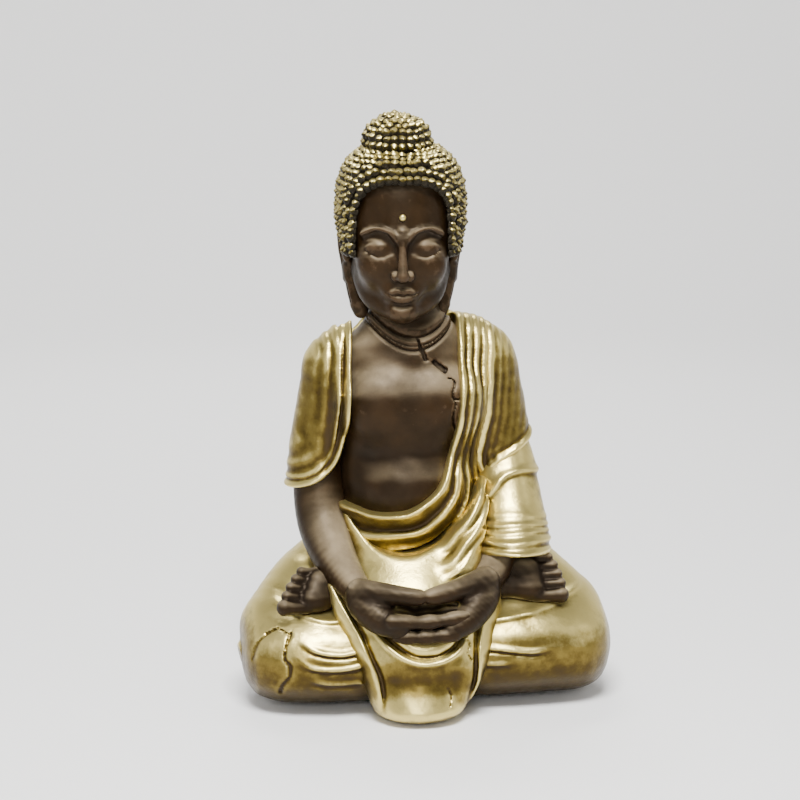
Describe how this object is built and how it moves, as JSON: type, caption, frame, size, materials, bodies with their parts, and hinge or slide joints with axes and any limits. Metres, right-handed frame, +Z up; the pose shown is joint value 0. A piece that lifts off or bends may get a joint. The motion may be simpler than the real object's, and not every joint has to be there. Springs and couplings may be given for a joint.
{
  "type": "seated buddha statue",
  "caption": "Seated cross-legged figure in meditation with draped robe, hands in the lap and a cap of small curls; a free-standing statue on a felt sole.",
  "frame": {"origin": "on the floor plane, under the axis of the torso and head, at the felt sole's underside", "axes": "+Z up, the figure faces -Y, its own left hand side is +X"},
  "size_m": [0.252, 0.1682, 0.4],
  "materials": {
    "skin": "dark brown paint with a satin sheen, worn lighter on the high places",
    "robe_gold": "rubbed gold paint over dark brown, darker in the folds",
    "hair_gold": "gold paint dry-brushed on the curls, dark between them",
    "bare_resin": "unpainted grey-brown cast resin",
    "felt": "dark green adhesive felt"
  },
  "bodies": {
    "root": {"torso": "skin", "head": "skin", "right_ear": "skin", "left_ear": "skin", "right_arm": "skin", "left_arm": "skin", "right_hand": "skin", "left_hand": "skin", "right_foot": "skin", "left_foot": "skin", "hair_cap": "hair_gold", "topknot": "hair_gold", "hair_curls": "hair_gold", "urna": "robe_gold", "apron": "robe_gold", "seat": "robe_gold", "right_leg": "robe_gold", "left_leg": "robe_gold", "waist_wrap": "robe_gold", "robe_mantle": "robe_gold", "right_sleeve": "robe_gold", "left_sleeve": "robe_gold", "left_cuff": "robe_gold", "base_plate": "bare_resin", "felt_sole": "felt"}
  },
  "joints": []
}
